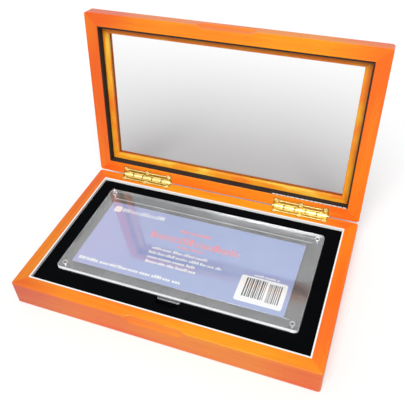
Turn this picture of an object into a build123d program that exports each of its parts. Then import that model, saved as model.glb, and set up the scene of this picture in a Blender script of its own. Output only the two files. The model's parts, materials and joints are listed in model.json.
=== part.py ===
from build123d import *
import os
from math import cos, radians, sin, sqrt

os.makedirs("parts", exist_ok=True)

# A hinged wooden display case for one large banknote, standing open.
# Millimetres, +Z up, +X to the right, +Y towards the hinges.
# The origin is the centre of the underside of the base.

# Case
base_height = 26.0
lid_height = 14.0
shut_gap = 0.8  # between base and lid when shut
open_angle = 98.0  # how far the lid stands from shut
corner_radius = 2.5  # upright outer corners
base_rim_radius = 1.2
base_foot_chamfer = 1.0
lid_face_radius = 2.2
lid_rim_radius = 0.4
inner_edge_radius = 0.5
thumb_notch_length = 54.0  # in the middle of the front edges
thumb_notch_depth = 2.6
thumb_notch_radius = 12.0  # of the ball-nosed cutter

# Base frame, panel and liner boards
base_wall = 11.2
panel_thickness = 3.0
panel_lap = 5.0  # how far the panel reaches under the rails
panel_clearance = 0.2
felt_thickness = 0.8
liner_thickness = 1.3
liner_drop = 0.2  # below the rim

# Insert, with its borders of velvet round the holder
border_left = 14.85
border_right = 13.9
border_front = 18.6
border_back = 13.3
velvet_drop = 2.4  # velvet face below the rim
velvet_thickness = 0.8
insert_clearance = 0.1
notch_width = 21.0
notch_reach = 8.0  # from the recess towards the front
notch_depth = 8.7
notch_corner_radius = 4.0

# Holder
holder_width = 222.25
holder_depth = 111.1
holder_sink = 6.7  # how far it stands in the velvet
holder_corner_radius = 3.5
holder_edge_chamfer = 0.3
holder_clearance = 0.4
plate_thickness = 4.5
plate_gap = 0.1
pocket_margin_x = 9.4  # from the plate's edge
pocket_margin_y = 10.8
pocket_corner_radius = 0.8
base_pocket = 0.5
cover_pocket = 0.3
pin_inset = 6.0
holder_pin_radius = 1.6
holder_pin_clearance = 0.1
pin_sink = 0.3  # pin ends below the plate faces
pin_recess_radius = 2.4
pin_recess_depth = 0.5

# Card and label
card_clearance = 2.6  # inside the pocket
card_shift = 2.3  # it has slid to the left and the front
card_thickness = 0.3
label_width = 41.5
label_depth = 28.3
label_thickness = 0.1
label_margin_x = 3.8  # from the card's right edge
label_margin_y = 5.3  # from the card's front edge
paper_gap = 0.05

# Lid frame, glass, beads and lining
lid_wall = 12.3
lid_lip_width = 7.6
lid_lip_thickness = 2.4
glass_thickness = 2.0
glass_clearance = 0.4
bead_thickness = 2.6
bead_clearance = 0.05
bead_edge_radius = 0.6
lining_thickness = 1.4
lining_drop = 0.5  # below the mating face

# Hinges
hinge_inset = 29.0  # from the case's side
hinge_length = 54.0
knuckle_count = 5
knuckle_gap = 0.2
barrel_radius = 2.2
barrel_clearance = 0.3
hinge_back = 0.0  # axis behind the case's back face
hinge_pin_radius = 1.0
hinge_pin_clearance = 0.05
pin_head_radius = 1.6
pin_head_length = 0.8
pin_head_gap = 0.1
leaf_depth = 9.0
leaf_thickness = 0.8
leaf_proud = 0.1  # above the wood
leaf_clearance = 0.2
bar_width = 1.7  # along the outer edge, in line with the rosettes
rosette_radius = 2.7
nail_radius = 0.6
nail_length = 5.0
nail_head_radius = 1.3
nail_head_height = 0.25
nail_clearance = 0.05

# Small gap that keeps soft faces off moving pieces
soft_gap = 0.3

# Heights in the base
rim_z = base_height
panel_top = felt_thickness + panel_thickness
velvet_z = rim_z - velvet_drop
foam_z = velvet_z - velvet_thickness
holder_z = velvet_z - holder_sink
recess_z = holder_z - soft_gap
notch_z = velvet_z - notch_depth
cover_z = holder_z + plate_thickness + plate_gap
holder_top = cover_z + plate_thickness
card_z = holder_z + plate_thickness - base_pocket + paper_gap
label_z = card_z + card_thickness

# Plan sizes in the base, from the holder outwards
tray_width = border_left + holder_width + border_right
tray_depth = border_front + holder_depth + border_back
base_inside_width = tray_width + 2 * liner_thickness
base_inside_depth = tray_depth + 2 * liner_thickness
case_width = base_inside_width + 2 * base_wall
case_depth = base_inside_depth + 2 * base_wall
seat_width = base_inside_width + 2 * panel_lap
seat_depth = base_inside_depth + 2 * panel_lap
cover_width = tray_width - 2 * insert_clearance
cover_depth = tray_depth - 2 * insert_clearance
foam_width = cover_width - 2 * velvet_thickness
foam_depth = cover_depth - 2 * velvet_thickness
holder_x = (border_left - border_right) / 2
holder_y = (border_front - border_back) / 2
recess_width = holder_width + 2 * holder_clearance
recess_depth = holder_depth + 2 * holder_clearance
recess_radius = holder_corner_radius + holder_clearance
pin_span_x = holder_width - 2 * pin_inset
pin_span_y = holder_depth - 2 * pin_inset
pocket_width = holder_width - 2 * pocket_margin_x
pocket_depth = holder_depth - 2 * pocket_margin_y
card_width = pocket_width - 2 * card_clearance
card_depth = pocket_depth - 2 * card_clearance
label_x = card_width / 2 - card_shift - label_margin_x - label_width / 2
label_y = label_depth / 2 + label_margin_y - card_shift - card_depth / 2

# Plan sizes and depths in the lid, measured from its mating face
lid_inside_width = case_width - 2 * lid_wall
lid_inside_depth = case_depth - 2 * lid_wall
lid_border = lid_wall + lid_lip_width
view_width = lid_inside_width - 2 * lid_lip_width
view_depth = lid_inside_depth - 2 * lid_lip_width
lip_level = lid_height - lid_lip_thickness
glass_level = lip_level - glass_thickness
bead_level = glass_level - bead_thickness

# Hinge axis and the lid's mating face in the open position
half_gap = shut_gap / 2
hinge_y = case_depth / 2 + hinge_back
hinge_z = rim_z + half_gap
lid_normal = (0, sin(radians(open_angle)), cos(radians(open_angle)))
lid_at_hinge = Plane(origin=(0, hinge_y, hinge_z), x_dir=(1, 0, 0), z_dir=lid_normal)
lid_centre = lid_at_hinge.from_local_coords(Vector(0, -hinge_y, half_gap))
lid_face = Plane(origin=lid_centre, x_dir=(1, 0, 0), z_dir=lid_normal)
lid_outward = Axis(lid_centre, lid_face.z_dir)
base_face = Plane.XY
holder_face = Plane((holder_x, holder_y, 0))

# Outward direction of each rail in the plan of its own frame
sides = {"front": (0, -1), "back": (0, 1), "left": (-1, 0), "right": (1, 0)}

# Places of the two hinges along X
hinge_place = case_width / 2 - hinge_inset - hinge_length / 2
hinge_places = {"left": -hinge_place, "right": hinge_place}

# Leaf levels in a leaf's own frame, whose Z points into its wood
leaf_level = half_gap - leaf_proud
mortise_level = leaf_level + leaf_thickness
leaf_edge_y = -(hinge_back + leaf_depth)
rosette_y = leaf_edge_y + rosette_radius
rosette_spacing = hinge_length / 2 - rosette_radius
rosette_places = [(-rosette_spacing, rosette_y), (0, rosette_y), (rosette_spacing, rosette_y)]
knuckle_pitch = hinge_length / knuckle_count


def finish(piece, name):
    """Label one finished piece and write it under its own name."""
    piece.label = name
    export_step(piece, f"parts/{name}.step")


def mitred_side(ring, face, side, reach):
    """One side of a ring of rails, cut out by a trapezium whose ends run at 45 degrees."""
    outward = Vector(*sides[side])
    along = Vector(-outward.Y, outward.X)
    half_length = (abs(along.X) * case_width + abs(along.Y) * case_depth) / 2
    half_breadth = (abs(outward.X) * case_width + abs(outward.Y) * case_depth) / 2
    outer_left = outward * half_breadth - along * half_length
    outer_right = outward * half_breadth + along * half_length
    inner_left = outer_left + (along - outward) * reach
    inner_right = outer_right - (along + outward) * reach
    with BuildPart() as piece:
        add(ring)
        with BuildSketch(face):
            with BuildLine():
                Polyline(outer_left, outer_right, inner_right, inner_left, close=True)
            make_face()
        extrude(amount=case_depth, both=True, mode=Mode.INTERSECT)
    return piece.part


def thumb_notch(face):
    """Cove with ball ends, centred on the front edge of a mating face."""
    cutter_y = -case_depth / 2 + thumb_notch_depth - thumb_notch_radius
    run_out = sqrt(thumb_notch_radius ** 2 - (thumb_notch_radius - thumb_notch_depth) ** 2)
    travel = thumb_notch_length / 2 - run_out
    with BuildPart(face) as notch:
        with Locations((0, cutter_y)):
            Cylinder(thumb_notch_radius, 2 * travel, rotation=(0, 90, 0))
        with Locations((-travel, cutter_y), (travel, cutter_y)):
            Sphere(thumb_notch_radius)
    return notch.part


def base_leaf_frame(place):
    """Frame on the hinge axis for a base leaf: its Z points down into the base."""
    return Plane(origin=(place, hinge_y, hinge_z), x_dir=(-1, 0, 0), z_dir=(0, 0, -1))


def lid_leaf_frame(place):
    """Frame on the hinge axis for a lid leaf: its Z points out into the lid."""
    return Plane(origin=(place, hinge_y, hinge_z), x_dir=(1, 0, 0), z_dir=lid_normal)


def axis_rod(frame, start, end, radius):
    """A round bar along the hinge axis between two places on it."""
    foot = frame.from_local_coords(Vector(start, 0, 0))
    with BuildPart() as rod:
        with BuildSketch(Plane(origin=foot, x_dir=frame.z_dir, z_dir=frame.x_dir)):
            Circle(radius)
        extrude(amount=end - start)
    return rod.part


def knuckle_span(index):
    """Where one knuckle starts and ends along the hinge, from the hinge's middle."""
    start = -hinge_length / 2 + index * knuckle_pitch
    return start, start + knuckle_pitch


def hinge_leaf(frame, first_knuckle):
    """A leaf with every second knuckle, bored for the pin."""
    own = range(first_knuckle, knuckle_count, 2)
    other = range(1 - first_knuckle, knuckle_count, 2)
    plate_edge = leaf_edge_y + rosette_radius - bar_width / 2
    plate_mid = (plate_edge - hinge_back) / 2
    with BuildPart() as leaf:
        with BuildSketch(frame.offset(leaf_level)):
            with Locations((0, plate_mid)):
                Rectangle(hinge_length, -hinge_back - plate_edge)
            with Locations(*rosette_places):
                Circle(rosette_radius)
            with Locations(*rosette_places):
                Circle(nail_radius + nail_clearance, mode=Mode.SUBTRACT)
        extrude(amount=leaf_thickness)
        for index in other:
            start, end = knuckle_span(index)
            relief = axis_rod(frame, start, end, barrel_radius + barrel_clearance)
            add(relief, mode=Mode.SUBTRACT)
        for index in own:
            start, end = knuckle_span(index)
            if index > 0:
                start += knuckle_gap / 2
            if index < knuckle_count - 1:
                end -= knuckle_gap / 2
            add(axis_rod(frame, start, end, barrel_radius))
        bore = axis_rod(frame, -hinge_length, hinge_length, hinge_pin_radius + hinge_pin_clearance)
        add(bore, mode=Mode.SUBTRACT)
    return leaf.part


def hinge_seat(frame):
    """What the wood loses to one hinge: mortise, barrel groove and pilot holes."""
    groove_half = hinge_length / 2 + pin_head_gap + pin_head_length + leaf_clearance
    seat_back = leaf_edge_y - leaf_clearance
    with BuildPart() as seat:
        with BuildSketch(frame):
            with Locations((0, seat_back / 2)):
                Rectangle(hinge_length + 2 * leaf_clearance, -seat_back)
        extrude(amount=mortise_level)
        with BuildSketch(frame):
            with Locations(*rosette_places):
                Circle(nail_radius + nail_clearance)
        extrude(amount=leaf_level + nail_length + nail_clearance)
        add(axis_rod(frame, -groove_half, groove_half, barrel_radius + barrel_clearance))
    return seat.part


def hinge_pin(frame):
    """A pin with a rounded head at each end."""
    shank_half = hinge_length / 2 + pin_head_gap
    with BuildPart() as pin:
        add(axis_rod(frame, -shank_half, shank_half, hinge_pin_radius))
        add(axis_rod(frame, shank_half, shank_half + pin_head_length, pin_head_radius))
        add(axis_rod(frame, -shank_half - pin_head_length, -shank_half, pin_head_radius))
        ends = pin.edges().filter_by(GeomType.CIRCLE).group_by(Axis.X)
        fillet(ends[0] + ends[-1], pin_head_length / 2)
    return pin.part


def leaf_nails(frames):
    """Three round-head nails for each leaf, all in one group of separate solids."""
    with BuildPart() as nails:
        for frame in frames:
            for place in rosette_places:
                neck = frame.from_local_coords(Vector(*place, leaf_level))
                with BuildSketch(Plane(origin=neck, x_dir=frame.x_dir, z_dir=frame.y_dir * -1)):
                    with BuildLine():
                        TangentArc((0, -nail_head_height), (nail_head_radius, 0), tangent=(1, 0))
                        Polyline((nail_head_radius, 0), (nail_radius, 0), (nail_radius, nail_length),
                                 (0, nail_length), (0, -nail_head_height))
                    make_face()
                revolve(axis=Axis(neck, frame.z_dir))
    return nails.part


def wall_ring(face, level, width, depth, thickness, height):
    """Four walls of one thickness round a rectangle, standing on a face."""
    with BuildPart() as ring:
        with BuildSketch(face.offset(level)):
            Rectangle(width, depth)
            Rectangle(width - 2 * thickness, depth - 2 * thickness, mode=Mode.SUBTRACT)
        extrude(amount=height)
    return ring.part


def recess_outline(level, growth):
    """Plan of the holder's recess, with its walls set back by growth."""
    with BuildSketch(holder_face.offset(level)) as outline:
        RectangleRounded(recess_width + 2 * growth, recess_depth + 2 * growth, recess_radius + growth)
    return outline.sketch


def notch_outline(level, growth):
    """Plan of the finger notch on the recess's front edge."""
    back = -recess_depth / 2 + recess_radius + growth
    front = -recess_depth / 2 - notch_reach - growth
    with BuildSketch(holder_face.offset(level)) as outline:
        with Locations((0, (back + front) / 2)):
            RectangleRounded(notch_width + 2 * growth, back - front, notch_corner_radius + growth)
    return outline.sketch


def holder_plate(level, pocket_level, pocket, pin_recess_level):
    """One clear plate with its share of the pocket and four holes for the pins."""
    with BuildPart() as plate:
        with BuildSketch(holder_face.offset(level)):
            RectangleRounded(holder_width, holder_depth, holder_corner_radius)
        extrude(amount=plate_thickness)
        rims = plate.edges().group_by(Axis.Z)
        chamfer(rims[0] + rims[-1], holder_edge_chamfer)
        with BuildSketch(holder_face.offset(pocket_level)):
            RectangleRounded(pocket_width, pocket_depth, pocket_corner_radius)
        extrude(amount=pocket, mode=Mode.SUBTRACT)
        with BuildSketch(holder_face.offset(level)):
            with GridLocations(pin_span_x, pin_span_y, 2, 2):
                Circle(holder_pin_radius + holder_pin_clearance)
        extrude(amount=plate_thickness, mode=Mode.SUBTRACT)
        with BuildSketch(holder_face.offset(pin_recess_level)):
            with GridLocations(pin_span_x, pin_span_y, 2, 2):
                Circle(pin_recess_radius)
        extrude(amount=pin_recess_depth, mode=Mode.SUBTRACT)
    return plate.part


# Base rails

with BuildPart() as base_ring:
    with BuildSketch(base_face):
        RectangleRounded(case_width, case_depth, corner_radius)
    extrude(amount=base_height)
    add(thumb_notch(base_face.offset(rim_z)), mode=Mode.SUBTRACT)
    fillet(base_ring.edges().group_by(Axis.Z)[-1], base_rim_radius)
    chamfer(base_ring.edges().group_by(Axis.Z)[0], base_foot_chamfer)
    with BuildSketch(base_face):
        Rectangle(base_inside_width, base_inside_depth)
    extrude(amount=base_height, mode=Mode.SUBTRACT)
    fillet(base_ring.edges(Select.LAST).group_by(Axis.Z)[-1], inner_edge_radius)
    with BuildSketch(base_face):
        Rectangle(seat_width, seat_depth)
    extrude(amount=panel_top, mode=Mode.SUBTRACT)

for side in sides:
    with BuildPart() as base_rail:
        add(mitred_side(base_ring.part, base_face, side, base_wall))
        if side == "back":
            for place in hinge_places.values():
                add(hinge_seat(base_leaf_frame(place)), mode=Mode.SUBTRACT)
    finish(base_rail.part, f"base_rail_{side}")


# Bottom panel and felt

with BuildPart() as bottom_panel:
    with BuildSketch(base_face.offset(felt_thickness)):
        Rectangle(seat_width - 2 * panel_clearance, seat_depth - 2 * panel_clearance)
    extrude(amount=panel_thickness)
finish(bottom_panel.part, "bottom_panel")

with BuildPart() as underside_felt:
    with BuildSketch(base_face):
        Rectangle(seat_width - 2 * panel_clearance, seat_depth - 2 * panel_clearance)
    extrude(amount=felt_thickness)
finish(underside_felt.part, "underside_felt")


# Liner boards inside the rails

liner_height = rim_z - liner_drop - panel_top
liner_ring = wall_ring(
    base_face, panel_top, base_inside_width, base_inside_depth, liner_thickness, liner_height)
for side in sides:
    with BuildPart() as tray_liner:
        add(mitred_side(liner_ring, base_face, side, base_wall + liner_thickness))
    finish(tray_liner.part, f"tray_liner_{side}")


# Foam block and its velvet cover

with BuildPart() as insert_foam:
    with BuildSketch(base_face.offset(panel_top)):
        Rectangle(foam_width, foam_depth)
    extrude(amount=foam_z - panel_top)
    recess_floor = recess_z - velvet_thickness
    notch_floor = notch_z - velvet_thickness
    extrude(recess_outline(recess_floor, velvet_thickness), amount=base_height, mode=Mode.SUBTRACT)
    extrude(notch_outline(notch_floor, velvet_thickness), amount=base_height, mode=Mode.SUBTRACT)
finish(insert_foam.part, "insert_foam")

with BuildPart() as velvet_cover:
    with BuildSketch(base_face.offset(panel_top)):
        Rectangle(cover_width, cover_depth)
    extrude(amount=velvet_z - panel_top)
    add(insert_foam.part, mode=Mode.SUBTRACT)
    extrude(recess_outline(recess_z, 0), amount=base_height, mode=Mode.SUBTRACT)
    extrude(notch_outline(notch_z, 0), amount=base_height, mode=Mode.SUBTRACT)
finish(velvet_cover.part, "velvet_cover")


# Holder plates, with the pocket between them

with BuildPart() as holder_base:
    add(holder_plate(holder_z, cover_z - plate_gap - base_pocket, base_pocket, holder_z))
finish(holder_base.part, "holder_base")

with BuildPart() as holder_cover:
    add(holder_plate(cover_z, cover_z, cover_pocket, holder_top - pin_recess_depth))
finish(holder_cover.part, "holder_cover")

with BuildPart() as holder_pins:
    with BuildSketch(holder_face.offset(holder_z + pin_sink)):
        with GridLocations(pin_span_x, pin_span_y, 2, 2):
            Circle(holder_pin_radius)
    extrude(amount=holder_top - holder_z - 2 * pin_sink)
finish(holder_pins.part, "holder_pins")

with BuildPart() as display_card:
    with BuildSketch(holder_face.offset(card_z)):
        with Locations((-card_shift, -card_shift)):
            Rectangle(card_width, card_depth)
    extrude(amount=card_thickness)
finish(display_card.part, "display_card")

with BuildPart() as card_label:
    with BuildSketch(holder_face.offset(label_z)):
        with Locations((label_x, label_y)):
            Rectangle(label_width, label_depth)
    extrude(amount=label_thickness)
finish(card_label.part, "card_label")


# Lid rails

with BuildPart() as lid_ring:
    with BuildSketch(lid_face):
        RectangleRounded(case_width, case_depth, corner_radius)
    extrude(amount=lid_height)
    add(thumb_notch(lid_face), mode=Mode.SUBTRACT)
    fillet(lid_ring.edges().group_by(lid_outward)[-1], lid_face_radius)
    fillet(lid_ring.edges().group_by(lid_outward)[0], lid_rim_radius)
    with BuildSketch(lid_face):
        Rectangle(view_width, view_depth)
    extrude(amount=lid_height, mode=Mode.SUBTRACT)
    fillet(lid_ring.edges(Select.LAST).group_by(lid_outward)[-1], inner_edge_radius)
    with BuildSketch(lid_face):
        Rectangle(lid_inside_width, lid_inside_depth)
    extrude(amount=lip_level, mode=Mode.SUBTRACT)
    fillet(lid_ring.edges(Select.LAST).group_by(lid_outward)[0], inner_edge_radius)

for side in sides:
    with BuildPart() as lid_rail:
        add(mitred_side(lid_ring.part, lid_face, side, lid_border))
        if side == "back":
            for place in hinge_places.values():
                add(hinge_seat(lid_leaf_frame(place)), mode=Mode.SUBTRACT)
    finish(lid_rail.part, f"lid_rail_{side}")


# Glass, the beads that hold it and the lining above them

with BuildPart() as lid_glass:
    with BuildSketch(lid_face.offset(glass_level)):
        Rectangle(lid_inside_width - 2 * glass_clearance, lid_inside_depth - 2 * glass_clearance)
    extrude(amount=glass_thickness)
finish(lid_glass.part, "lid_glass")

with BuildPart() as bead_ring:
    with BuildSketch(lid_face.offset(bead_level)):
        Rectangle(lid_inside_width - 2 * bead_clearance, lid_inside_depth - 2 * bead_clearance)
    extrude(amount=bead_thickness)
    with BuildSketch(lid_face.offset(bead_level)):
        Rectangle(view_width, view_depth)
    extrude(amount=bead_thickness, mode=Mode.SUBTRACT)
    fillet(bead_ring.edges(Select.LAST).group_by(lid_outward)[0], bead_edge_radius)

lining_ring = wall_ring(
    lid_face, lining_drop, lid_inside_width, lid_inside_depth, lining_thickness, bead_level - lining_drop)
for side in sides:
    with BuildPart() as glass_bead:
        add(mitred_side(bead_ring.part, lid_face, side, lid_border))
    finish(glass_bead.part, f"glass_bead_{side}")
    with BuildPart() as lid_lining:
        add(mitred_side(lining_ring, lid_face, side, lid_border))
    finish(lid_lining.part, f"lid_lining_{side}")


# Hinges

for hinge, place in hinge_places.items():
    with BuildPart() as base_leaf:
        add(hinge_leaf(base_leaf_frame(place), 0))
    finish(base_leaf.part, f"{hinge}_hinge_base_leaf")
    with BuildPart() as lid_leaf:
        add(hinge_leaf(lid_leaf_frame(place), 1))
    finish(lid_leaf.part, f"{hinge}_hinge_lid_leaf")
    with BuildPart() as pin:
        add(hinge_pin(lid_leaf_frame(place)))
    finish(pin.part, f"{hinge}_hinge_pin")

with BuildPart() as base_nails:
    add(leaf_nails([base_leaf_frame(place) for place in hinge_places.values()]))
finish(base_nails.part, "base_hinge_nails")

with BuildPart() as lid_nails:
    add(leaf_nails([lid_leaf_frame(place) for place in hinge_places.values()]))
finish(lid_nails.part, "lid_hinge_nails")
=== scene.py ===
import json
import random
from math import cos, pi, radians, sin

import bmesh
import bpy
from mathutils import Matrix, Vector, noise


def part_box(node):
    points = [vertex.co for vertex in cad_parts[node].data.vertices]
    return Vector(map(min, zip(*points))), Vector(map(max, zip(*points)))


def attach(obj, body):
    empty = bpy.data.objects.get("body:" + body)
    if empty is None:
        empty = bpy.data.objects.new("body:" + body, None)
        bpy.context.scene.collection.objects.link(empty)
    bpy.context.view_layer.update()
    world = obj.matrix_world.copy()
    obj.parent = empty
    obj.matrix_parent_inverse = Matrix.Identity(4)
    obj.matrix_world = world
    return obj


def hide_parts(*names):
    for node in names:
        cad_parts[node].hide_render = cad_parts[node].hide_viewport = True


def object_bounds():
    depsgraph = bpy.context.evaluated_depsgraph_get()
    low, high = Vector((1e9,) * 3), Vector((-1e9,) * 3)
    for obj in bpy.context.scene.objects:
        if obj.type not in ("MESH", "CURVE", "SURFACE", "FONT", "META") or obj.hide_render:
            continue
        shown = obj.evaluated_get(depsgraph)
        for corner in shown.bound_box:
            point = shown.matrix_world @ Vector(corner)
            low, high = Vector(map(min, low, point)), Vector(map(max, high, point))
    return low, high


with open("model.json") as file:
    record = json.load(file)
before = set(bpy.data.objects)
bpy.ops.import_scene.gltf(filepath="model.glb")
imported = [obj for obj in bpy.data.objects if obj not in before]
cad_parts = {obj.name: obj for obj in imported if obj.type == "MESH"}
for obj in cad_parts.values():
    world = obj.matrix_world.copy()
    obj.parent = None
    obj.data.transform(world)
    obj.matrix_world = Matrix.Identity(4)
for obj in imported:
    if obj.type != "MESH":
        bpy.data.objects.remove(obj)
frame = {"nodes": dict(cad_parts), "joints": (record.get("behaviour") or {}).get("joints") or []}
cad_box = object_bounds()
nodes = frame["nodes"]
joints = {joint["name"]: joint for joint in frame["joints"]}

# A banknote display box, standing open: looks only. Metres, in the frame of the solids.
MM = 0.001

# Camera: a plain view from the front right, fitted to the edges of the case and the holder
SENSOR_WIDTH = 36.0
FOCAL_LENGTH = 48.587
CAMERA_PLACE = Vector((0.14296, -0.30960, 0.39460))
CAMERA_AZIMUTH = radians(22.546)
CAMERA_ELEVATION = radians(41.887)
CAMERA_ROLL = radians(-3.205)
CAMERA_NEAR = 0.01

# Studio
FLOOR_HALF = 4.0
FLOOR_DROP = 0.1 * MM  # below the case
FLOOR_TONE = 0.95  # as the camera sees it
FLOOR_BOUNCE = 0.50  # as it lights the case
FLOOR_GLOW = 0.10  # share of the floor's white that doesn't depend on the lamps
AMBIENT = 0.34
KEY_FROM = Vector((0.11, -0.60, 0.79))
KEY_SPREAD = radians(46)
KEY_LEVEL = 0.95  # one lights a face square to it so that its colour shows as written

# Tones, linear. A pair is the darker end and the lighter end of a ramp.
HONEY_DARK = (0.93, 0.160, 0.012)
HONEY_LIGHT = (0.98, 0.330, 0.012)
OUTER_PAINTED_SHADE = (0.84, 0.78, 2.6)  # painted shade with a painted pale reflection: multiplies the tone on the outer faces
LEFT_PAINTED_SHADE = (0.80, 0.84, 1.40)  # painted shade: multiplies it towards the left end of the base
LID_LEFT_PAINTED_SHADE = (0.90, 0.78, 0.90)  # painted shade towards the left end of the lid
BEAD_DARK = (0.97, 0.235, 0.018)
BEAD_MID = (0.97, 0.380, 0.020)
BEAD_LIGHT = (1.0, 0.600, 0.070)
CARD_BLUE = (0.290, 0.370, 0.660)
CARD_VIOLET = (0.340, 0.350, 0.640)
CARD_SPECK = (0.42, 0.48, 0.74)
PRINT_WHITE = (0.96, 0.97, 0.98)
PRINT_RED = (1.0, 0.240, 0.260)
BAR_BROWN = (0.014, 0.009, 0.008)
BRASS_LIGHT = (1.0, 0.860, 0.380)
BRASS_DARK = (0.62, 0.420, 0.080)
# Painted shade: the darker brass of the hinge leaves, in the hollows round the bright trim
HOLLOW_SHADE_LIGHT = (0.44, 0.280, 0.040)
HOLLOW_SHADE_DARK = (0.16, 0.090, 0.010)
WHITE_BOARD_TONES = ((0.88, 0.88, 0.87), (0.96, 0.96, 0.95))
BLACK_BOARD_TONES = ((0.010, 0.009, 0.009), (0.028, 0.022, 0.020))
CORE_TONES = ((0.88, 0.87, 0.84), (0.97, 0.96, 0.94))
LABEL_TONES = ((0.93, 0.93, 0.93), (0.98, 0.98, 0.98))
PLY_TONES = ((0.46, 0.32, 0.18), (0.70, 0.54, 0.35))
VELVET_TONES = ((0.0007, 0.0009, 0.0012), (0.0028, 0.0034, 0.0044))
FELT_TONES = ((0.010, 0.010, 0.011), (0.035, 0.035, 0.038))
SHEEN_TINT = (0.10, 0.11, 0.14)
# Painted highlight rings round the pins
HIGHLIGHT_RING_TONES = ((0.80, 0.82, 0.84), (0.95, 0.96, 0.97))

# Wood: streaks, cloud, pores and blots are noise waves per metre, along the grain and across it
WOOD_STREAKS = (5, 120, 120)
WOOD_CLOUD = (7, 16, 16)
WOOD_PORES = (36, 1000, 1000)
STREAK_SHARE = 0.4  # of the tone; the cloud has the rest
CORNER_REACH = (85 * MM, 128 * MM)  # from the middle of the case, where the wood turns redder
CORNER_RED = 0.14
LEFT_REACH = (-60 * MM, -135 * MM)  # where the left end's painted shade begins and is full
OUTER_REACH = 10 * MM  # over which a face turned outwards takes the outer painted shade
PORE_BAND = (0.56, 0.72)
PORE_TONE = tuple(0.7 * channel for channel in HONEY_DARK)
PORE_DEPTH = 0.5  # share of the pore's tone where a pore is deepest
GRAIN_BUMP = 0.02 * MM
BEAD_STREAKS = (7, 260, 260)
BEAD_BLOTS = (30, 90, 90)
BEAD_STREAK_SHARE = 0.35

# Pile, board and print: noise waves per metre
FIBRE_WAVES = 1400
FIBRE_SHARE = 0.6
PATCH_WAVES = 60
HAIR_WAVES = 3200
HAIR_SHARE = 0.7
BRUSHED_WAVES = (45, 90, 45)
PLY_WAVES = (10, 320, 60)
CARD_MOTTLE = (18, 30, 18)
CARD_GRAIN = 2600
INK_GRAIN = 1500
INK_THIN = 0.82  # thin ink's share of the full tone
RUB_WAVES = 420
SCRATCH_WAVES = (900, 5200, 5200)

# Clear plates and pane
ACRYLIC_TINT = (0.99, 0.995, 1.0)
ACRYLIC_PASSED = (0.96, 0.97, 0.97)  # share of the light that a shadow lets through
# White of the plates' bloom and of their painted reflection and painted highlights
ACRYLIC_BLOOM_AND_LIGHT = (0.97, 0.98, 0.99)
PIN_TINT = (0.98, 0.99, 1.0)
# White of the pins' bloom and of their painted reflection and painted highlights
PIN_BLOOM_AND_LIGHT = (0.90, 0.92, 0.93)
SMEAR_WAVES = (30, 24, 30)
PAINTED_LIGHT_BLEND = 1.0 * MM  # over which the painted reflection on the near edge and the painted highlight on the pocket's far wall begin
# The pane's index is set low, because the photograph's pane shows no reflection of the case
PANE_IOR = 1.1
PANE_PASSED = (0.80, 0.80, 0.80)
PANE_BLOOM = (0.55, 0.72, 0.64)
# The pane's tints, deepest at the hinges: painted shade
PANE_SHADE_DEEP = (0.68, 0.68, 0.69)
PANE_SHADE_MIDDLE = (0.84, 0.84, 0.84)
PANE_SHADE_CLEAR = (0.96, 0.96, 0.96)

# Velvet insert
VELVET_VOXEL = 0.9 * MM
VELVET_ROUNDS = 2  # smoothing rounds that roll its edges
VELVET_ROLL_DEPTH = 1.2 * MM
VELVET_RIPPLE = 0.10 * MM
VELVET_RIPPLE_SCALE = 55.0

# Felt under the case
FELT_CELL = 4 * MM
FELT_WAVE = 0.12 * MM
FELT_WAVE_SCALE = 90

# Trim on the hinges
ROSETTE_RADIUS = 2.7 * MM
ROSETTE_COUNT = 3
PETALS = 8
PETAL_RING = 1.85 * MM
PETAL_SIZE = (0.75 * MM, 0.5 * MM, 0.24 * MM)
PETAL_TURNS = 10
PETAL_ROWS = 4
LEAF_DROP = 0.30 * MM  # leaf face below the hinge's axis plane
LEAF_DEPTH = 9.0 * MM  # leaf edge from the axis
ROPE_RADIUS = 0.45 * MM
ROPE_FLATNESS = 0.55  # its height over its half width
ROPE_SWELL = 0.14
ROPE_PITCH = 1.5 * MM
ROPE_RINGS = 6  # to a pitch
ROPE_ARC = 8  # faces over its half round
INNER_ROPE_PLACE = 2.9 * MM  # from the axis
INNER_ROPE_RADIUS = 0.7 * ROPE_RADIUS
KNUCKLES = 5
BARREL_RADIUS = 2.2 * MM
SLEEVE_SWELL = 0.24 * MM
SLEEVE_GROOVE = 0.16 * MM
SLEEVE_GROOVES = 5
SLEEVE_FULLNESS = 0.7  # power of the swell: a lower one is fuller at the ends
SLEEVE_LEAST = 0.01 * MM  # least height over the knuckle
SLEEVE_GAP = 0.14  # share of a knuckle left bare between sleeves
SLEEVE_POINTS = 17
TURNED_STEPS = 28  # faces round a sleeve or a collar

# Print on the card, in millimetres from the card's centre: x start, x end, middle y, height
WHITE_LINES = [
    (-84.5, -37.0, 34.0, 5.0),
    (-35.5, 22.5, -3.6, 3.4),
    (-36.5, 34.0, -9.4, 3.4),
    (-35.5, 11.0, -14.9, 3.4),
    (-35.0, 14.0, -20.4, 3.4),
    (-95.5, 5.5, -35.3, 3.8),
    (64.0, 87.0, -6.0, 2.6),
]
RED_LINES = [
    (-18.5, 14.5, 24.0, 3.4),
    (-43.5, 44.5, 12.6, 8.2),
    (-13.0, 13.0, 4.2, 2.6),
]
DISC_PLACE = (-89.8, 33.6)
DISC_RADIUS = 4.0
WORD_MIN = 4.0
WORD_MAX = 11.0
WORD_LEAD = 0.4  # share of the line's height added to a word's length
WORD_SPACE = 1.5
BLOCK_WIDTHS = (0.34, 0.62)  # shares of the line's height
BLOCK_HEIGHTS = (0.7, 0.7, 1.0)
BLOCK_SPACE = 0.16
BLOCK_ROUND = 0.3
BLOCK_OVERRUN = 0.2  # millimetres that a block may run past its word
LOOP_HEIGHT = 4.5  # lines at least this tall are set in hollow blocks
LOOP_WIDTH = 0.45  # share of its height that a hollow block is wide, or more
LOOP_STROKE = 6  # strokes to its height
PRINT_RISE = 0.02 * MM
CARD_SEED = 7

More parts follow.
